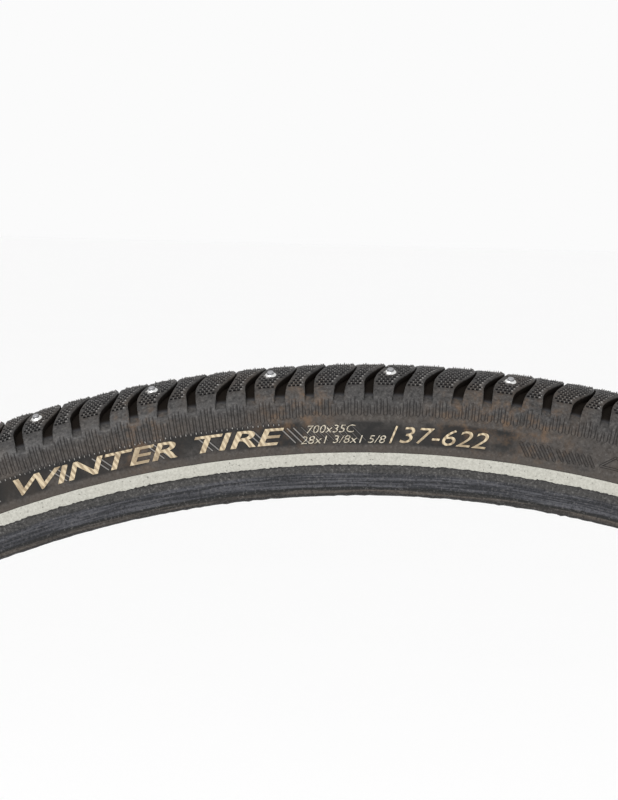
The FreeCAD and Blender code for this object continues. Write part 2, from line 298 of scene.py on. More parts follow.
def groove_shade(s):
    """How dark the groove is at s: darkest on the crown, fading out with its depth."""
    near = max(0.0, min(1.0, (GROOVE_END_S - abs(s)) / SHADE_REACH))
    return near * near * (3 - 2 * near)


def knurl_shade(s):
    return KNURL_SHADE if abs(s) < KNURL_END_S + 0.3 else 0.0


def eased(points, by):
    """Moves an edge sideways by the distance by, less where the groove is shallow."""
    return [(u + by * min(1.0, groove_depth(s) / SHALLOW), s) for u, s in points]


def inside(u, s, polygon):
    crossings = 0
    for (u0, s0), (u1, s1) in zip(polygon, polygon[1:] + polygon[:1]):
        if (s0 > s) != (s1 > s) and u < u0 + (u1 - u0) * (s - s0) / (s1 - s0):
            crossings += 1
    return crossings % 2 == 1


def clearance(u, s, polygon):
    """The distance from a point to the nearest side of a polygon."""
    best = 1e9
    for (u0, s0), (u1, s1) in zip(polygon, polygon[1:] + polygon[:1]):
        du, ds = u1 - u0, s1 - s0
        t = max(0.0, min(1.0, ((u - u0) * du + (s - s0) * ds) / (du * du + ds * ds)))
        best = min(best, math.hypot(u - u0 - t * du, s - s0 - t * ds))
    return best


def well_inside(u, s, polygon, margin):
    return inside(u, s, polygon) and clearance(u, s, polygon) > margin


def triangulated(outline, holes, extra):
    """Triangles that fill an outline, leaving the holes open, through the extra points as well."""
    points, faces = list(outline), [list(range(len(outline)))]
    for hole in holes:
        faces.append(list(range(len(points), len(points) + len(hole))))
        points += hole
    points += extra
    flat = [Vector(p) for p in points]
    found, _, triangles, _, _, owners = delaunay_2d_cdt(flat, [], faces, 1, 1e-5, True)
    kept = [t for t, owner in zip(triangles, owners) if list(owner) == [0]]
    return [(p.x, p.y) for p in found], kept


def pit_places(plate, studded):
    """Centres of the knurl's pits on one block, in staggered rows, clear of its edges and any stud."""
    places = []
    rows = int(KNURL_END_S / PIT_ROWS)
    for i in range(-rows, rows + 1):
        s = i * PIT_ROWS
        for j in range(-12, 13):
            u = (j + 0.5 * (i % 2)) * PIT_COLUMN
            clear = not studded or math.hypot(u, s + STUD_S) > STUD_CLEAR
            if clear and all(well_inside(*c, plate, PIT_MARGIN) for c in square((u, s), PIT_HALF)):
                places.append((u, s))
    return places


def square(centre, half):
    u, s = centre
    return [(u - half, s - half), (u + half, s - half), (u + half, s + half), (u - half, s + half)]


class Patch:
    """Flat (u, s, lift, deep) points and faces of one pitch of the tread, before it is wrapped round."""

    def __init__(self):
        self.points = []
        self.faces = []
        self.index = {}

    def corner(self, u, s, lift, deep):
        key = (round(u, 3), round(s, 3), round(lift, 3))
        if key not in self.index:
            self.index[key] = len(self.points)
            self.points.append((u, s, lift, deep))
        return self.index[key]

    def face(self, corners):
        ids = [self.corner(*c) for c in corners]
        if len(set(ids)) == len(ids):
            self.faces.append(tuple(ids))

    def other_half(self):
        """The same patch mirrored in the crown line and moved on by half a pitch."""
        twin = Patch()
        twin.points = [(u + PITCH_LENGTH / 2, -s, lift, deep) for u, s, lift, deep in self.points]
        twin.faces = [f[::-1] for f in self.faces]
        return twin


def block_patch(studded):
    """One block's top with its pits and raised pads, and its two long edges down to the groove's floor."""
    left, right = chain(BLOCK_LEFT), chain(BLOCK_RIGHT)
    top = (eased(left, EDGE_ROUNDING), eased(right, -EDGE_ROUNDING))
    foot = (eased(left, -WALL_DRAFT), eased(right, WALL_DRAFT))
    plate = top[1] + top[0][::-1]
    patch = Patch()
    pits = pit_places(plate, studded)
    smooth = []
    for i in range(-18, 19):
        s = i * SMOOTH_ROWS
        for j in range(-3, 4):
            u = j * SMOOTH_COLUMN + SMOOTH_COLUMN / 2 * (i % 2)
            if abs(s) > KNURL_END_S and well_inside(u, s, plate, SMOOTH_MARGIN):
                smooth.append((u, s))
    pads = [(u + PIT_COLUMN / 2, s) for u, s in pits]
    pads = [p for p in pads if well_inside(*p, plate, PAD_MARGIN)]
    points, triangles = triangulated(plate, [square(p, PIT_HALF) for p in pits], smooth + pads)
    raised = {(round(u, 3), round(s, 3)) for u, s in pads}
    corners = []
    for u, s in points:
        on_pad = (round(u, 3), round(s, 3)) in raised
        # Raised pads are painted pale, for worn tips and a painted highlight; the knurl between the pits gets
        # painted shade.
        corners.append((u, s, PAD_RISE, PAD_WEAR_AND_HIGHLIGHT) if on_pad else (u, s, 0.0, knurl_shade(s)))
    for t in triangles:
        patch.face([corners[i] for i in t])
    # Pits get painted shade, darkest on their floors.
    for p in pits:
        rim = [(*c, 0.0, KNURL_SHADE) for c in square(p, PIT_HALF)]
        floor = [(*c, -PIT_DEPTH, 1.0) for c in square(p, PIT_HALF - PIT_TAPER)]
        for k in range(4):
            n = (k + 1) % 4
            patch.face([rim[k], rim[n], floor[n], floor[k]])
        patch.face(floor)
    for crest, edge, base, way in ((top[0], left, foot[0], 1), (top[1], right, foot[1], -1)):
        for i in range(len(edge) - 1):
            levels = []
            for k in (i, i + 1):
                s = edge[k][1]
                depth, shade = groove_depth(s), groove_shade(s)
                rounding = EDGE_ROUNDING * min(1.0, depth / SHALLOW)
                # Painted highlight on the rounded edge of a block's smooth part.
                edge_highlight = EDGE_HIGHLIGHT * min(1.0, depth / SHALLOW) if abs(s) > KNURL_END_S else 0.0
                # Painted shade deepens down the groove's walls to its floor.
                levels.append([(*crest[k], 0.0, knurl_shade(s)), (*edge[k], -rounding, edge_highlight),
                               (*edge[k], -0.25 * depth - 0.5 * rounding, 0.9 * shade),
                               (*base[k], -depth, shade)])
            for low in range(3):
                quad = [levels[0][low], levels[1][low], levels[1][low + 1], levels[0][low + 1]]
                patch.face(quad[::way])
    return patch


def floor_patch():
    """The floor of the groove between a block and the next one of the other half."""
    near = eased(chain(BLOCK_RIGHT), WALL_DRAFT)
    far = turned_over(eased(chain(BLOCK_LEFT), -WALL_DRAFT))
    patch = Patch()
    points, triangles = triangulated(near[::-1] + far, [], [])
    # The groove's floor gets its painted shade.
    corners = [(u, s, -groove_depth(s), groove_shade(s)) for u, s in points]
    for t in triangles:
        patch.face([corners[i] for i in t])
    return patch


def wrap_patch(sheet, patch, pitch_number):
    """Wraps a patch round the tyre at the given pitch, with its raised pads unevenly high."""
    start = pitch_number * PITCH
    points = []
    for u, s, lift, _ in patch.points:
        phi = start + u / CROWN_R
        if lift > 0:
            lift *= 1.0 + PAD_UNEVENNESS * noise.noise(Vector((phi * CROWN_R * 1.3, s * 1.3, 0.0)))
        points.append(spot(phi, s, lift))
    sheet.add(points, patch.faces, [deep for *_, deep in patch.points])


def build_tread(material, hollow, sectors=10):
    pitches = []
    for studded in (True, False):
        half = [block_patch(studded), floor_patch()]
        pitches.append(half + [patch.other_half() for patch in half])
    per_sector = PITCHES // sectors
    for i in range(sectors):
        sheet = Sheet()
        for k in range(i * per_sector, (i + 1) * per_sector):
            for patch in pitches[k % 2]:
                wrap_patch(sheet, patch, k)
        sheet.make(f"tread_blocks_{i}", material, "tread_rubber", ["tread"], sharp=38, hollow=hollow)


# ---- walls, ribs and bands ----

def ring(sheet, profile, segments, wobble=None):
    """A band all the way round the tyre. profile is a list of (s, lift, deep) in rising order of s."""
    rows = []
    for s, lift, deep in profile:
        row = []
        for k in range(segments):
            phi = TURN * k / segments
            extra = wobble(phi, s) if wobble else 0.0
            row.append((spot(phi, s, lift + extra), deep))
        rows.append(row)
    sheet.grid(rows, closed=True)


def sided(profile, side):
    """A profile given for the +Y side, turned over for the -Y side and kept in rising order of s."""
    return profile if side > 0 else [(-s, lift, deep) for s, lift, deep in reversed(profile)]


def steps(start, end, size):
    n = max(1, round(abs(end - start) / size))
    return [start + (end - start) * k / n for k in range(n + 1)]


# Across a bar: distance from its middle in half widths, share of its height, and how deep it looks, which
# paints shade at its foot. A thin line of painted shade on the skin runs round it, BAR_LINE millimetres wide.
BAR_SECTION = [(-1.0, 0.15, 1.0), (-0.9, 0.75, 0.4), (-0.65, 1.0, 0.0), (0.65, 1.0, 0.0), (0.9, 0.75, 0.4),
               (1.0, 0.15, 1.0)]
BAR_LINE = 0.24
BAR_LINE_LIFT = 0.02


def bar(sheet, start, end, half, height, segments=5, fading=False, tone=0.0):
    """A raised bar from one (phi, s) to another, standing proud of the skin. Its ends are round, or it
    starts level with the skin and rises out of it. Painted shade runs round its foot. A tone below 0 paints
    its top pale, a painted highlight; a tone above 0 paints it darker."""
    (phi0, s0), (phi1, s1) = start, end
    radius = skin(abs(s0))[1]
    across, along = (phi1 - phi0) * radius, s1 - s0
    length = math.hypot(across, along)
    ux, us = across / length, along / length
    rounding = [(half * (1 - math.cos(math.radians(a))), math.sin(math.radians(a))) for a in (4, 48, 90)]
    stations = [(t, full, min(1.0, 2 * full)) for t, full in rounding]
    if fading:
        stations = [(0.0, 1.0, 0.0), (half, 1.0, 0.6), (2.5 * half, 1.0, 1.0)]
    begin = stations[-1][0]
    stations += [(begin + (length - half - begin) * k / segments, 1.0, 1.0) for k in range(1, segments + 1)]
    stations += [(length - t, full, min(1.0, 2 * full)) for t, full in rounding[1::-1]]

    def point(t, offset, lift, deep):
        u, s = ux * t - us * offset, us * t + ux * offset
        return spot(phi0 + u / radius, s0 + s, lift), deep

    def flat_row(t, reach, deep):
        edge = reach + BAR_LINE / 2
        offsets = [-edge] + [x * reach for x, _, _ in BAR_SECTION] + [edge]
        return [point(t, offset, BAR_LINE_LIFT, deep) for offset in offsets]

    rows = [] if fading else [flat_row(-BAR_LINE, half * 0.3, 0.7)]
    for t, full, rise in stations:
        reach = half * full + BAR_LINE
        row = [point(t, -reach, BAR_LINE_LIFT, 0.6 * rise)]
        row += [point(t, x * half * full, lift * height * rise + BAR_LINE_LIFT, (deep or tone) * rise)
                for x, lift, deep in BAR_SECTION]
        row.append(point(t, reach, BAR_LINE_LIFT, 0.6 * rise))
        rows.append(row)
    rows.append(flat_row(length + BAR_LINE, half * 0.3, 0.7))
    sheet.grid(rows[::-1])


RIBS = 1080
RIB_HALF = 0.52
RIB_HEIGHT = 0.2
RIB_TOP_R = 338.6
RIB_TOP_RISE = 2.9
RIB_BOTTOM_R = 335.9
RIB_BOTTOM_DROP = 2.6
LABEL_TURN = -13.0
LABEL_HALF_TURN = 9.0
GROOVE_PLACES = (0.13, 0.655)


def rib_top(phi, side):
    """How high up the shoulder a rib starts: highest in the middle of a block, lowest below a groove."""
    shift = 0.0 if side < 0 else 0.5
    along = (phi / PITCH - shift) % 1.0
    groove = min(abs(along - g) if abs(along - g) < 0.5 else 1 - abs(along - g) for g in GROOVE_PLACES)
    return RIB_TOP_R + RIB_TOP_RISE * min(1.0, groove / 0.2) ** 1.5


def rib_bottom(phi, side):
    """Ribs run lower above the wide lettering."""
    turn = math.degrees(phi) * -side
    near_label = max(0.0, 1 - abs((turn - LABEL_TURN + 90) % 180 - 90) / LABEL_HALF_TURN)
    ripple = 0.35 * math.sin(5.3 * turn) * math.sin(1.7 * turn)
    return RIB_BOTTOM_R - RIB_BOTTOM_DROP * min(1.0, 1.6 * near_label) + ripple


KNOWN_RADII = {}


def s_at_radius_cached(r):
    """s_at_radius to the nearest tenth of a millimetre, remembered because the ribs ask for it so often."""
    key = round(r, 1)
    if key not in KNOWN_RADII:
        KNOWN_RADII[key] = s_at_radius(key)
    return KNOWN_RADII[key]


def build_walls(material, segments=720):
    """The smooth walls between tread and reflective bands, and the ribs on the tread's wing above them."""
    for side, word in ((-1, "right"), (1, "left")):
        sheet = Sheet()
        lowest = s_at_radius(STRIP_HIGH_R)
        # Painted shade where the wall tucks under the tread's wing and where it runs down into the seam
        # beside the reflective band.
        profile = [(GROOVE_END_S - 0.7, -0.3, 0.3), (GROOVE_END_S - 0.1, -0.03, 0.1)]
        profile.append((GROOVE_END_S + 0.5, 0.0, 0.0))
        profile += [(s, 0.0, 0.0) for s in steps(GROOVE_END_S + 1.0, lowest - 0.25, 1.1)]
        profile += [(lowest - 0.08, -0.02, 0.5), (lowest, -0.12, 1.0), (lowest + 0.1, -0.2, 1.0)]
        ring(sheet, sided(profile, side), segments)
        sheet.make(f"wall_{word}", material, "wall_rubber", [f"sidewall_{word}"], sharp=40)
        for part in range(2):
            fins = Sheet()
            for k in range(part * RIBS // 2, (part + 1) * RIBS // 2):
                phi = TURN * (k + 0.5) / RIBS
                jitter = noise.noise(Vector((k * 0.71, side * 3.0, 0.0)))
                top = s_at_radius_cached(rib_top(phi, side) + 0.5 * jitter)
                low = s_at_radius_cached(rib_bottom(phi, side) + 0.3 * jitter)
                bar(fins, (phi, side * top), (phi, side * low), RIB_HALF, RIB_HEIGHT, fading=True)
            fins.make(f"wall_ribs_{word}_{part}", material, "wall_rubber", [], sharp=50)


def build_strips(material, segments=3200):
    """The reflective bands: flat, a little proud of the wall, with slightly uneven edges."""
    high, low = s_at_radius(STRIP_HIGH_R), s_at_radius(STRIP_LOW_R)
    for side, word in ((-1, "right"), (1, "left")):
        rows = []
        edge = ((0.02, -0.15), (-0.03, STRIP_PROUD - 0.04), (-0.12, STRIP_PROUD))
        places = [(high - out, lift, False) for out, lift in edge]
        places += [(s, STRIP_PROUD, False) for s in steps(high + 0.7, low - 0.7, 0.8)]
        places += [(low + out, lift, True) for out, lift in reversed(edge)]
        for s, lift, ragged in places:
            row = []
            for k in range(segments):
                phi = TURN * k / segments
                around = Vector((math.sin(phi), math.cos(phi), side * 0.3))
                if ragged:
                    nick = max(0.0, noise.noise(around * 41) - 0.42) * 2.4
                    shift = 0.38 * noise.noise(around * 400) + 0.16 * noise.noise(around * 60) - nick
                else:
                    shift = 0.07 * noise.noise(around * 80) if s < high + 0.2 else 0.0
                row.append((spot(phi, side * (s + shift), lift), 0.0))
            rows.append(row)
        sheet = Sheet()
        sheet.grid(rows if side > 0 else rows[::-1], closed=True)
        sheet.make(f"strip_{word}", material, "reflective_film", [f"reflective_strip_{word}"], sharp=50)


def build_rim_strips(material, segments=1440):
    """The woven strips round the beads, from under the reflective band over the heel to the inside."""
    start, heel = s_at_radius(STRIP_LOW_R) - 0.15, SKIN_STARTS[5]
    for side, word in ((-1, "right"), (1, "left")):
        # Painted shade where the strip tucks under the reflective band; it is drawn darker over the heel and
        # the inside as well.
        profile = [(start - 0.3, -0.2, 1.0), (start, -0.02, 0.8), (start + 0.35, 0.0, 0.3)]
        profile += [(s, 0.0, 0.0) for s in steps(start + 1.0, heel - 0.3, 0.9)]
        profile += [(s, 0.0, 0.2) for s in steps(heel, SKIN_STARTS[6], 0.45)]
        profile += [(s, 0.0, 0.4) for s in steps(SKIN_STARTS[6] + 0.6, SKIN_STARTS[7], 0.7)]
        profile += [(s, 0.0, 0.4) for s in steps(SKIN_STARTS[7] + 0.18, SKIN_STARTS[8], 0.18)]
        profile += [(s, 0.0, 0.4) for s in steps(SKIN_STARTS[8] + 0.7, SKIN_STARTS[10] - 0.01, 0.9)]

        def uneven(phi, s):
            around = Vector((math.sin(phi), math.cos(phi), side * 0.2))
            near_heel = max(0.0, 1 - abs(abs(s) - SKIN_STARTS[6] + 0.6) / 1.6)
            broad = 0.05 * noise.noise(around * 25 + Vector((0, 0, s * 1.3)))
            return broad + 0.4 * near_heel * noise.noise(around * 240)

        sheet = Sheet()
        ring(sheet, sided(profile, side), segments, uneven)
        sheet.make(f"rim_band_{word}", material, "chafer_fabric", [f"rim_strip_{word}"], sharp=60)


def casing_section():
    """The casing's inner surface on the +Y side, from the crown to the rim strip, as (y, r)."""
    centre_r = CASING_CROWN_R - CASING_ARC_R
    points = []
    for a in steps(0, CASING_ARC_END, math.radians(6)):
        points.append((CASING_ARC_R * math.sin(a), centre_r + CASING_ARC_R * math.cos(a)))
    shoulder = CASING_SHOULDER_R
    side_y = points[-1][0] - shoulder * math.sin(CASING_ARC_END)
    for a in steps(CASING_ARC_END, math.pi / 2, math.radians(7.5))[1:]:
        points.append((side_y + shoulder * math.sin(a), WIDEST_R + shoulder * math.cos(a)))
    wall_y = points[-1][0] - CASING_WALL_R
    end = math.asin((WIDEST_R - CASING_LOW_R) / CASING_WALL_R)
    for a in steps(0, end, end / 8)[1:]:
        points.append((wall_y + CASING_WALL_R * math.cos(a), WIDEST_R - CASING_WALL_R * math.sin(a)))
    (y0, r0), (y2, r2) = points[-1], RIM_STRIP_INNER
    y1, r1 = y0 - 1.2, r0 - 2.6
    for k in range(1, 7):
        t = k / 6
        points.append(((1 - t) ** 2 * y0 + 2 * t * (1 - t) * y1 + t * t * y2,
                       (1 - t) ** 2 * r0 + 2 * t * (1 - t) * r1 + t * t * r2))
    return points


def build_casing(material, segments=540):
    half = casing_section()
    section = [(-y, r) for y, r in half[:0:-1]] + half
    rows = []
    for y, r in section:
        row = []
        for k in range(segments):
            phi = TURN * k / segments
            row.append((Vector((r * math.sin(phi), y, r * math.cos(phi))) * MM, 0.0))
        rows.append(row)
    sheet = Sheet()
    sheet.grid(rows, closed=True)
    sheet.make("casing_inside", material, "casing_fabric", ["carcass_ply"], flip=True)


# ---- studs ----

# A stud's outlines, as (radius, height above the skin).
STUD_BODY = [(1.5, -1.2), (1.72, -0.3), (1.76, 0.02), (1.7, 0.13), (1.6, 0.18), (1.32, 0.46), (1.24, 0.54),
             (1.12, 0.56), (1.04, 0.5), (1.02, 0.2)]
STUD_PIN = [(1.0, 0.2), (1.0, 1.0), (0.96, 1.12), (0.84, 1.22), (0.5, 1.26), (0.02, 1.27)]


def lathe(sheet, base, axis, profile, around=28):
    """Turns a (radius, height) profile about an axis through the base point."""
    side = axis.orthogonal().normalized()
    other = axis.cross(side)
    rows = []
    for radius, height in profile:
        row = []
        for k in range(around):
            a = TURN * k / around
            out = side * math.cos(a) + other * math.sin(a)
            row.append((base + (out * radius + axis * height) * MM, 0.0))
        rows.append(row)
    sheet.grid(rows, closed=True)


def build_studs(steel, carbide):
    for side, word, first in ((-1, "right", 0.0), (1, "left", PITCH / 2)):
        bodies, pins = Sheet(), Sheet()
        for k in range(STUDS):
            phi = first + TURN * k / STUDS
            base = spot(phi, side * STUD_S)
            axis = (spot(phi, side * STUD_S, 1.0) - base).normalized()
            lathe(bodies, base, axis, STUD_BODY)
            lathe(pins, base, axis, STUD_PIN)
        bodies.make(f"studs_{word}", steel, "stud_steel", [f"stud_bodies_{word}"], sharp=35)
        pins.make(f"pins_{word}", carbide, "carbide", [f"stud_pins_{word}"], sharp=35)


# ---- lettering and embossed marks on the walls ----

# What is printed on each wall: the piece's name, the words, the ink, the degrees they run from and to, the
# radius they stand on, their height, their slope, and how much bolder than the typeface they are.
PRINTS = [
    ("wide_letters", "WINTER TIRE", "gold", -19.9, -5.4, 327.7, 5.1, 0.28, 0.1),
    ("size_upper", "700x35C", "cream", -4.25, -1.7, 330.7, 2.3, 0.28, -0.11),
    ("size_lower", "28x1 3/8x1 5/8", "cream", -4.6, -0.1, 327.5, 2.3, 0.28, -0.11),
    ("size_slash", "/", "gold", 0.05, 0.52, 327.5, 5.3, 0.1, 0.0),
    ("size_figures", "37-622", "gold", 0.6, 5.25, 327.7, 4.9, 0.28, -0.06),
]

# Groups of slanted bars beside and behind the print: the first one's degrees, how many there are, the degrees
# from each to the next, the radii they run from and to, the degrees they lean by, and their half width,
# height and tone.
# A tone below 0 paints the top of a bar pale, a painted highlight; a tone above 0 paints it darker.
BAR_GROUPS = [(first, count, 0.33, 332.6, 327.9, 0.75, 0.26, 0.14, -0.6)
              for first, count in ((-22.6, 4), (-17.9, 2), (-15.6, 2), (-12.6, 2), (-10.0, 2), (-7.4, 2),
                                   (-5.6, 3))]
BAR_GROUPS += [
    (-4.55, 9, 0.33, 332.8, 328.2, 0.75, 0.17, 0.12, -0.35),
    (6.9, 5, 0.36, 331.4, 327.2, 0.5, 0.38, 0.24, 0.4),
    (8.85, 6, 0.33, 330.9, 327.6, 0.4, 0.34, 0.24, 0.4),
]

# Small upright ticks above the wide letters, their tops painted pale as a painted highlight.
TICKS = 60
TICK_START = -21.6
TICK_STEP = 0.27

# The triangle mark's three sides: degrees, the radii it runs from and to, and the degrees it leans by.
TRIANGLE = [(11.2, 328.6, 332.2, 0.75), (11.95, 332.2, 328.6, 0.75), (11.2, 328.6, 328.55, 1.5)]


def lettering(name, words, material, side, start, end, base_r, height, slope, bold):
    """Raised letters wrapped on to a wall, from start to end degrees, standing on the radius base_r."""
    curve = bpy.data.curves.new(name, "FONT")
    curve.body = words
    curve.size = 10.0
    curve.shear = slope
    curve.offset = bold
    curve.extrude = 0.2
    curve.bevel_depth = 0.05
    curve.bevel_resolution = 1
    curve.resolution_u = 6
    carrier = bpy.data.objects.new(name, curve)
    bpy.context.scene.collection.objects.link(carrier)
    bpy.context.view_layer.update()
    mesh = bpy.data.meshes.new_from_object(carrier.evaluated_get(bpy.context.evaluated_depsgraph_get()))
    bpy.data.objects.remove(carrier)
    low_x, high_x = min(v.co.x for v in mesh.vertices), max(v.co.x for v in mesh.vertices)
    low_y, high_y = min(v.co.y for v in mesh.vertices), max(v.co.y for v in mesh.vertices)
    base_s = s_at_radius(base_r)
    for v in mesh.vertices:
        turn = start + (end - start) * (v.co.x - low_x) / (high_x - low_x)
        up = height * (v.co.y - low_y) / (high_y - low_y)
        v.co = spot(math.radians(turn) * -side, side * (base_s - up), v.co.z)
    mesh.attributes.new("deep", "FLOAT", "POINT")
    mesh.materials.clear()
    mesh.materials.append(material)
    o = bpy.data.objects.new(name, mesh)
    bpy.context.scene.collection.objects.link(o)
    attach(o, "root")


def slanted_bar(sheet, side, turn, top_r, low_r, lean, half, height, tone=0.0):
    """A bar on a wall from the radius top_r to low_r, from turn degrees on, leaning by lean degrees."""
    start = (math.radians(turn) * -side, side * s_at_radius_cached(top_r))
    end = (math.radians(turn + lean) * -side, side * s_at_radius_cached(low_r))
    bar(sheet, start, end, half, height, segments=3, tone=tone)


def build_marks(rubber, inks):
    """The print and the moulded bars, twice on each wall."""
    for side, word in ((-1, "right"), (1, "left")):
        hatch = Sheet()
        for half_turn in (0, 180):
            for name, words, ink, start, end, *form in PRINTS:
                lettering(f"{name}_{word}_{half_turn}", words, inks[ink], side, half_turn + start,
                          half_turn + end, *form)
            for first, count, step, *form in BAR_GROUPS:
                for k in range(count):
                    slanted_bar(hatch, side, half_turn + (first + step * k), *form)
            # Each tick's top is painted pale, a painted highlight.
            for k in range(TICKS):
                place = noise.noise(Vector((k * 0.83, side * 5.0, 0.0)))
                slanted_bar(hatch, side, half_turn + (TICK_START + TICK_STEP * k), 334.1 + 0.3 * place,
                            333.4 + 0.5 * place, 0.04 * place, 0.2, 0.24, -0.7 - place)
            for turn, *form in TRIANGLE:
                slanted_bar(hatch, side, half_turn + turn, *form, 0.2, 0.2)
        hatch.make(f"wall_hatch_{word}", rubber, "wall_rubber", [], sharp=50)


# ---- materials ----

class Looks:
    """Short hand for building one material's nodes round its Principled shader."""

    def __init__(self, name):
        self.material = bpy.data.materials.new(name)
        self.material.use_nodes = True
        self.tree = self.material.node_tree
        self.shader = self.tree.nodes["Principled BSDF"]
        self.place = self.put("ShaderNodeTexCoord").outputs["Object"]

    def put(self, kind, **settings):
        node = self.tree.nodes.new(kind)
        for key, value in settings.items():
            setattr(node, key, value)
        return node

    def feed(self, socket, value):
        """Links another node's output to the socket, or sets it to a number or an (r, g, b) colour."""
        if isinstance(value, bpy.types.NodeSocket):
            self.tree.links.new(value, socket)
        elif value is not None:
            socket.default_value = (*value, 1.0) if socket.type == "RGBA" else value

    def calc(self, operation, a, b=None, c=None, clamp=False):
        node = self.put("ShaderNodeMath", operation=operation, use_clamp=clamp)
        for socket, value in zip(node.inputs, (a, b, c)):
            self.feed(socket, value)
        return node.outputs[0]

    def deep(self):
        return self.put("ShaderNodeAttribute", attribute_name="deep").outputs["Fac"]

    def polar(self):
        """Radius and angle round the axle, and the width coordinate, as three sockets."""
        split = self.put("ShaderNodeSeparateXYZ")
        self.feed(split.inputs[0], self.place)
        x, y, z = split.outputs
        squares = self.calc("ADD", self.calc("MULTIPLY", x, x), self.calc("MULTIPLY", z, z))
        return self.calc("SQRT", squares), self.calc("ARCTAN2", x, z), y

    def speckle(self, size, detail=3.0, roughness=0.55, place=None):
        """Noise from 0 to 1 whose features are about size millimetres across."""
        node = self.put("ShaderNodeTexNoise")
        self.feed(node.inputs["Vector"], place or self.place)
        node.inputs["Scale"].default_value = 1000.0 / size
        node.inputs["Detail"].default_value = detail
        node.inputs["Roughness"].default_value = roughness
        return node.outputs["Fac"]

    def stretched(self, size, stretch, detail=3.0):
        """Noise in streaks that run round the tyre, size millimetres wide and stretch times as long."""
        radius, _, y = self.polar()
        split = self.put("ShaderNodeSeparateXYZ")
        self.feed(split.inputs[0], self.place)
        join = self.put("ShaderNodeCombineXYZ")
        self.feed(join.inputs[0], self.calc("DIVIDE", split.outputs[0], stretch))
        self.feed(join.inputs[1], self.calc("ADD", radius, self.calc("MULTIPLY", y, 0.7)))
        self.feed(join.inputs[2], self.calc("DIVIDE", split.outputs[2], stretch))
        return self.speckle(size, detail, 0.6, join.outputs[0])

    def window(self, value, low, high):
        """0 at low, 1 at high, smooth between; low may be the larger."""
        node = self.put("ShaderNodeMapRange", interpolation_type="SMOOTHSTEP")
        for socket, given in zip(node.inputs, (value, low, high, 0.0, 1.0)):
            self.feed(socket, given)
        return node.outputs[0]

    def mix(self, factor, a, b):
        node = self.put("ShaderNodeMix", data_type="RGBA")
        for socket, given in zip((node.inputs[0], node.inputs[6], node.inputs[7]), (factor, a, b)):
            self.feed(socket, given)
        return node.outputs[2]

    def tint(self, base, where, strength, tone):
        """The base turned to the (r, g, b) tone, by as much as strength where the mask is 1."""
        return self.mix(self.calc("MULTIPLY", where, strength), base, tone)

    def bumps(self, height, depth, below=None):
        """Bump from a height of 0 to 1 that stands for depth millimetres."""
        node = self.put("ShaderNodeBump")
        node.inputs["Strength"].default_value = 1.0
        node.inputs["Distance"].default_value = depth * MM
        self.feed(node.inputs["Height"], height)
        self.feed(node.inputs["Normal"], below)
        return node.outputs[0]

    def finish(self, colour, roughness, normal=None):
        self.feed(self.shader.inputs["Base Color"], colour)
        self.feed(self.shader.inputs["Roughness"], roughness)
        self.feed(self.shader.inputs["Normal"], normal)
        return self.material


def stain(look, places, reach):
    """1 at the given (degrees, radius) points on both walls, falling to 0 at reach millimetres from them."""
    total = 0.0
    for turn, radius in places:
        for side in (-1, 1):
            phi = math.radians(turn) * -side
            node = look.put("ShaderNodeVectorMath", operation="DISTANCE")
            look.feed(node.inputs[0], look.place)
            node.inputs[1].default_value = spot(phi, side * s_at_radius(radius))
            total = look.calc("MAXIMUM", total, look.window(node.outputs["Value"], reach * MM, 0.0))
    return total


DUST = (0.100, 0.066, 0.040)
RUST = (0.150, 0.086, 0.042)
RUST_PLACES = [(-5.2, 336.5), (-4.5, 339.0), (4.0, 336.5), (6.3, 338.0), (8.0, 335.0), (-13.0, 336.0)]
RUST_REACH = 17.0
LABEL_TOP = (334.6 * MM, 333.4 * MM)
LABEL_BOTTOM = (326.4 * MM, 327.6 * MM)
LABEL_START = (math.radians(-25), math.radians(-23.5))
LABEL_END = (math.radians(7.4), math.radians(6.2))
DUST_LINE = (326.9 * MM, 325.4 * MM)


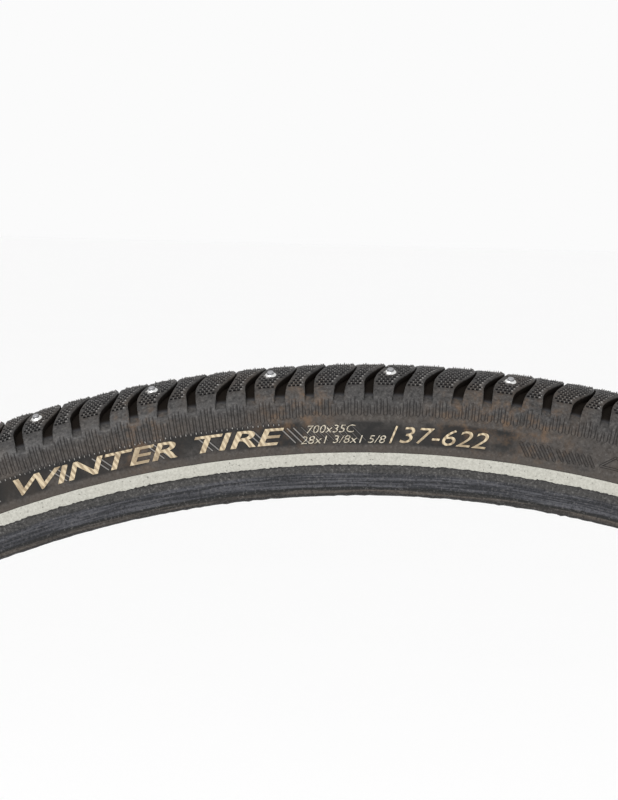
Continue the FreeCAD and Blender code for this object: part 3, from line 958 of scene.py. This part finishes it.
def rubber_looks(name, dusty, sheen_from, marked=False):
    """Worn black rubber with soil and painted shade in its hollows, painted pale where deep is below 0 (a
    painted highlight, with wear on the raised pads), and browner below the radius 4 mm inside sheen_from. A
    marked wall is blacker and smoother behind its lettering and dusty along the reflective band."""
    look = Looks(name)
    deep = look.deep()
    radius, angle, y = look.polar()
    mottle = look.speckle(9.0, 5.0)
    grain = look.speckle(0.9, 4.0, 0.7)
    base = look.mix(mottle, (0.027, 0.0258, 0.0255), (0.046, 0.043, 0.0415))
    base = look.tint(base, look.window(grain, 0.52, 0.66), 0.55, (0.105, 0.099, 0.093))
    base = look.tint(base, look.window(grain, 0.49, 0.37), 0.8, (0.006, 0.0055, 0.005))
    scuff = look.window(look.speckle(2.6, 6.0, 0.7), 0.52, 0.75)
    base = look.tint(base, scuff, 0.35, (0.085, 0.079, 0.072))
    low_down = look.window(radius, sheen_from * MM, (sheen_from - 4.0) * MM)
    haze = look.calc("MULTIPLY_ADD", look.speckle(5.0, 4.0), 0.6, -0.06)
    base = look.tint(base, low_down, haze, (0.088, 0.068, 0.052))
    polish = 0.0
    if marked:
        band = look.calc("MULTIPLY", look.window(radius, *LABEL_TOP), look.window(radius, *LABEL_BOTTOM))
        turn = look.calc("MULTIPLY", angle, look.calc("SIGN", look.calc("MULTIPLY", y, -1.0)))
        turn = look.calc("WRAP", turn, math.pi / 2, -math.pi / 2)
        ends = look.calc("MULTIPLY", look.window(turn, *LABEL_START), look.window(turn, *LABEL_END))
        band = look.calc("MULTIPLY", band, ends)
        polish = look.calc("MULTIPLY", band, look.window(look.speckle(13.0, 4.0), 0.68, 0.46))
        base = look.tint(base, polish, 0.95, (0.005, 0.005, 0.005))
        line = look.calc("MULTIPLY", look.window(radius, *DUST_LINE), look.speckle(1.2, 5.0, 0.75))
        base = look.tint(base, line, 0.8, (0.052, 0.042, 0.033))
    patches = look.window(look.speckle(16.0, 4.0), 0.46, 0.72)
    base = look.tint(base, patches, look.calc("MULTIPLY_ADD", deep, 0.3, dusty), DUST)
    streaks = look.window(look.speckle(3.2, 5.0, 0.65), 0.42, 0.75)
    rust = look.calc("MULTIPLY", stain(look, RUST_PLACES, RUST_REACH), streaks)
    base = look.tint(base, rust, 0.65, RUST)
    # Painted highlight where deep is below 0: block edges, ticks and hatch bars, and with wear on the raised
    # pads.
    base = look.mix(look.window(deep, -0.05, -1.0), base, (0.27, 0.257, 0.244))
    # Painted shade, darker the deeper the point: grooves, pits, the knurl, the foot of each bar and the
    # wall's creases.
    base = look.tint(base, deep, 0.88, (0.007, 0.006, 0.0055))
    even = look.calc("MULTIPLY_ADD", mottle, 0.2, 0.34)
    roughness = look.calc("MULTIPLY_ADD", deep, 0.35, look.calc("MULTIPLY_ADD", polish, -0.12, even))
    normal = look.bumps(grain, 0.09)
    look.shader.inputs["Specular IOR Level"].default_value = 0.34
    return look.finish(base, roughness, normal)


def hollow_looks():
    """The grooves and pits: painted shade, near black with little shine, paler where they run out."""
    look = Looks("tread_hollows")
    mottle = look.speckle(3.0, 5.0, 0.7)
    dark = look.mix(mottle, (0.003, 0.0025, 0.002), (0.013, 0.0095, 0.007))
    base = look.mix(look.window(look.deep(), HOLLOW_FROM - 0.1, 1.0), (0.050, 0.050, 0.053), dark)
    look.shader.inputs["Specular IOR Level"].default_value = 0.06
    return look.finish(base, look.calc("MULTIPLY_ADD", mottle, 0.2, 0.75), look.bumps(mottle, 0.1))


def film_looks():
    """Pale retroreflective film, a little mottled and specked."""
    look = Looks("reflective_film")
    mottle = look.speckle(0.7, 5.0, 0.75)
    base = look.mix(look.window(mottle, 0.3, 0.7), (0.335, 0.327, 0.288), (0.493, 0.486, 0.435))
    broad = look.window(look.speckle(24.0, 3.0), 0.35, 0.75)
    base = look.tint(base, broad, 0.25, (0.42, 0.40, 0.34))
    specks = look.window(look.speckle(0.75, 2.0, 0.5), 0.655, 0.71)
    base = look.tint(base, specks, 0.8, (0.12, 0.115, 0.10))
    roughness = look.calc("MULTIPLY_ADD", mottle, 0.25, 0.4)
    return look.finish(base, roughness, look.bumps(look.speckle(0.5, 2.0), 0.03))


def chafer_looks():
    """Rubberised weave: gritty grey under the reflective band, then blue-black, a dark line, and brown at the
    bead's edge, with streaks that run round the tyre."""
    look = Looks("chafer_weave")
    radius, angle, _ = look.polar()
    round_about = look.calc("SINE", look.calc("MULTIPLY", angle, 5400.0))
    across = look.calc("SINE", look.calc("MULTIPLY", radius, TURN / (0.42 * MM)))
    weave = look.calc("MULTIPLY_ADD", look.calc("MULTIPLY", round_about, across), 0.5, 0.5)
    streak = look.stretched(0.5, 40.0, 4.0)
    lowered = look.calc("SUBTRACT", radius, 0.8 * MM)
    drift = look.calc("MULTIPLY_ADD", look.speckle(30.0, 3.0), 1.6 * MM, lowered)
    grit = look.speckle(0.8, 5.0, 0.75)
    threads = look.window(streak, 0.4, 0.6)
    blue = look.mix(threads, (0.014, 0.015, 0.019), (0.073, 0.074, 0.084))
    brown = look.mix(threads, (0.018, 0.016, 0.014), (0.082, 0.068, 0.056))
    base = look.mix(look.window(drift, 317.6 * MM, 318.8 * MM), blue, (0.046, 0.044, 0.042))
    base = look.mix(look.window(drift, 314.0 * MM, 313.6 * MM), base, (0.007, 0.007, 0.007))
    base = look.mix(look.window(drift, 313.2 * MM, 312.8 * MM), base, brown)
    base = look.mix(look.window(drift, 312.1 * MM, 311.6 * MM), base, (0.010, 0.009, 0.008))
    gritty = look.calc("MULTIPLY_ADD", look.window(drift, 316.5 * MM, 318.6 * MM), 0.35, 0.5)
    base = look.tint(base, look.window(grit, 0.53, 0.66), gritty, (0.150, 0.143, 0.138))
    base = look.tint(base, look.window(grit, 0.49, 0.36), 0.85, (0.005, 0.005, 0.005))
    base = look.tint(base, weave, 0.2, (0.015, 0.015, 0.016))
    under_film = look.window(radius, (STRIP_LOW_R - 0.7) * MM, STRIP_LOW_R * MM)
    base = look.tint(base, under_film, 0.7, (0.014, 0.013, 0.013))
    # Painted shade where the strip tucks under the reflective band, and darker over the heel and the inside.
    base = look.tint(base, look.deep(), 0.6, (0.012, 0.011, 0.011))
    normal = look.bumps(weave, 0.04)
    normal = look.bumps(look.calc("ADD", streak, grit), 0.12, normal)
    look.shader.inputs["Specular IOR Level"].default_value = 0.32
    return look.finish(base, look.calc("MULTIPLY_ADD", streak, 0.25, 0.45), normal)


def casing_looks():
    """The bare inside: cords laid at a slant under a thin skin of rubber."""
    look = Looks("casing_cords")
    _, angle, y = look.polar()
    lay = look.calc("MULTIPLY_ADD", y, TURN / (1.1 * MM), look.calc("MULTIPLY", angle, 1500.0))
    cords = look.calc("MULTIPLY_ADD", look.calc("SINE", lay), 0.5, 0.5)
    mottle = look.speckle(14.0, 5.0)
    base = look.mix(mottle, (0.045, 0.038, 0.031), (0.085, 0.072, 0.058))
    base = look.tint(base, cords, 0.4, (0.12, 0.10, 0.075))
    return look.finish(base, look.calc("MULTIPLY_ADD", mottle, 0.2, 0.6), look.bumps(cords, 0.08))


def ink_looks(name, bright, dull):
    """Metallic-looking print in broken slanted stripes of lighter and darker colour, and flaked through to
    the rubber.
    """
    look = Looks(name)
    flakes = look.speckle(0.9, 4.0, 0.65)
    radius, angle, _ = look.polar()
    slant = look.calc("MULTIPLY_ADD", angle, 1280.0, look.calc("MULTIPLY", radius, TURN / (3.4 * MM)))
    stripes = look.window(look.calc("SINE", slant), -0.5, 0.5)
    broken = look.calc("MULTIPLY", stripes, look.window(look.speckle(7.0, 2.0), 0.35, 0.6))
    shade = look.calc("MULTIPLY_ADD", look.speckle(2.6, 3.0), 0.75, look.calc("MULTIPLY", broken, 0.4))
    base = look.mix(look.window(shade, 0.25, 0.75), dull, bright)
    base = look.mix(look.window(flakes, 0.62, 0.72), base, (0.055, 0.047, 0.038))
    return look.finish(base, look.calc("MULTIPLY_ADD", flakes, 0.3, 0.4), look.bumps(flakes, 0.02))


def metal_looks(name, light, dark, metallic, rough):
    """Worn bare metal."""
    look = Looks(name)
    wear = look.speckle(0.6, 4.0, 0.6)
    base = look.mix(wear, dark, light)
    look.shader.inputs["Metallic"].default_value = metallic
    return look.finish(base, look.calc("MULTIPLY_ADD", wear, 0.25, rough), look.bumps(wear, 0.015))


def plain_looks(name, low, high, size, rough, metallic=0.0):
    """A quiet two-tone finish for the layers that lie inside the tyre."""
    look = Looks(name)
    mottle = look.speckle(size, 4.0)
    look.shader.inputs["Metallic"].default_value = metallic
    base = look.mix(mottle, low, high)
    return look.finish(base, look.calc("MULTIPLY_ADD", mottle, 0.2, rough), look.bumps(mottle, 0.05))


def dress_inner_nodes():
    """The layers that no piece replaces keep their CAD shape and get their own finish."""
    finishes = {
        "puncture_breaker": plain_looks("breaker_weave", (0.35, 0.27, 0.11), (0.5, 0.4, 0.18), 0.8, 0.7),
        "bead_filler": plain_looks("apex_rubber", (0.02, 0.02, 0.02), (0.045, 0.043, 0.04), 3.0, 0.6),
        "bead_wrap": plain_looks("wrap_rubber", (0.02, 0.02, 0.02), (0.04, 0.04, 0.04), 2.0, 0.6),
        "bead_core": plain_looks("bronzed_wire", (0.42, 0.31, 0.17), (0.62, 0.48, 0.28), 1.0, 0.3, 1.0),
    }
    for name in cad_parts:
        for stem, material in finishes.items():
            if name.startswith(stem):
                o = bpy.data.objects[name]
                o.data.materials.clear()
                o.data.materials.append(material)


# ---- floor, lights and camera ----

# The floor's half side and its distance below the tyre, in metres.
FLOOR_REACH = 30.0
FLOOR_GAP = 0.0005


def floor():
    mesh = bpy.data.meshes.new("floor")
    level = cad_box[0].z - FLOOR_GAP
    corners = ((-1, -1), (1, -1), (1, 1), (-1, 1))
    mesh.from_pydata([(x * FLOOR_REACH, y * FLOOR_REACH, level) for x, y in corners], [], [(0, 1, 2, 3)])
    look = Looks("pale_floor")
    pale = look.mix(look.speckle(400.0), (0.98, 0.98, 0.98), (0.99, 0.99, 0.99))
    mesh.materials.append(look.finish(pale, 0.8))
    o = bpy.data.objects.new("floor", mesh)
    bpy.context.scene.collection.objects.link(o)


def area_light(name, place, target, size, power):
    lamp = bpy.data.lights.new(name, "AREA")
    lamp.shape = "DISK"
    lamp.size = size
    lamp.energy = power
    o = bpy.data.objects.new(name, lamp)
    o.location = place
    o.rotation_mode = "QUATERNION"
    o.rotation_quaternion = (Vector(target) - Vector(place)).to_track_quat("-Z", "Y")
    bpy.context.scene.collection.objects.link(o)


def lights():
    world = bpy.data.worlds.new("studio")
    world.use_nodes = True
    background = world.node_tree.nodes["Background"]
    background.inputs["Color"].default_value = (1.0, 1.0, 1.0, 1.0)
    background.inputs["Strength"].default_value = 0.965
    bpy.context.scene.world = world
    aim = (0, 0, 0.25)
    area_light("key", (-1.1, -1.6, 1.9), aim, 1.1, 28)
    area_light("fill", (1.6, -1.8, 0.9), aim, 1.6, 9)


CAMERA_TARGET = (-24.97, 0.0, 338.60)
CAMERA_DISTANCE = 1100.0
CAMERA_YAW = math.radians(2.75)
CAMERA_PITCH = math.radians(3.89)
CAMERA_ROLL = 0.02383
CAMERA_LENS = 161.6


def camera():
    """Seen nearly along the axle, from a little above and from the +X side."""
    data = bpy.data.cameras.new("camera")
    data.lens = CAMERA_LENS
    data.sensor_width = 36.0
    data.clip_start, data.clip_end = 0.05, 100.0
    flat = math.cos(CAMERA_PITCH)
    back = Vector((math.sin(CAMERA_YAW) * flat, -math.cos(CAMERA_YAW) * flat, math.sin(CAMERA_PITCH)))
    level = Vector((math.cos(CAMERA_YAW), math.sin(CAMERA_YAW), 0))
    upright = back.cross(level)
    right = level * math.cos(CAMERA_ROLL) + upright * math.sin(CAMERA_ROLL)
    up = upright * math.cos(CAMERA_ROLL) - level * math.sin(CAMERA_ROLL)
    turn = Matrix((right, up, back)).transposed()
    o = bpy.data.objects.new("camera", data)
    place = (Vector(CAMERA_TARGET) + back * CAMERA_DISTANCE) * MM
    o.matrix_world = Matrix.Translation(place) @ turn.to_4x4()
    bpy.context.scene.collection.objects.link(o)
    bpy.context.scene.camera = o


# ---- the whole scene ----

tread_rubber = rubber_looks("tread_rubber", 0.18, 341.0)
wall_rubber = rubber_looks("wall_rubber", 0.12, 340.0, marked=True)
build_tread(tread_rubber, hollow_looks())
build_walls(wall_rubber)
build_strips(film_looks())
build_rim_strips(chafer_looks())
build_casing(casing_looks())
build_studs(metal_looks("stud_steel", (0.86, 0.86, 0.85), (0.62, 0.62, 0.61), 1.0, 0.22),
            metal_looks("carbide", (0.40, 0.40, 0.41), (0.26, 0.26, 0.27), 0.9, 0.32))
build_marks(wall_rubber, {
    "gold": ink_looks("gold_ink", (0.55, 0.455, 0.308), (0.26, 0.195, 0.12)),
    "cream": ink_looks("cream_ink", (0.54, 0.49, 0.39), (0.28, 0.245, 0.185)),
})
dress_inner_nodes()
floor()
lights()
camera()
bpy.context.scene.view_settings.view_transform = "Standard"
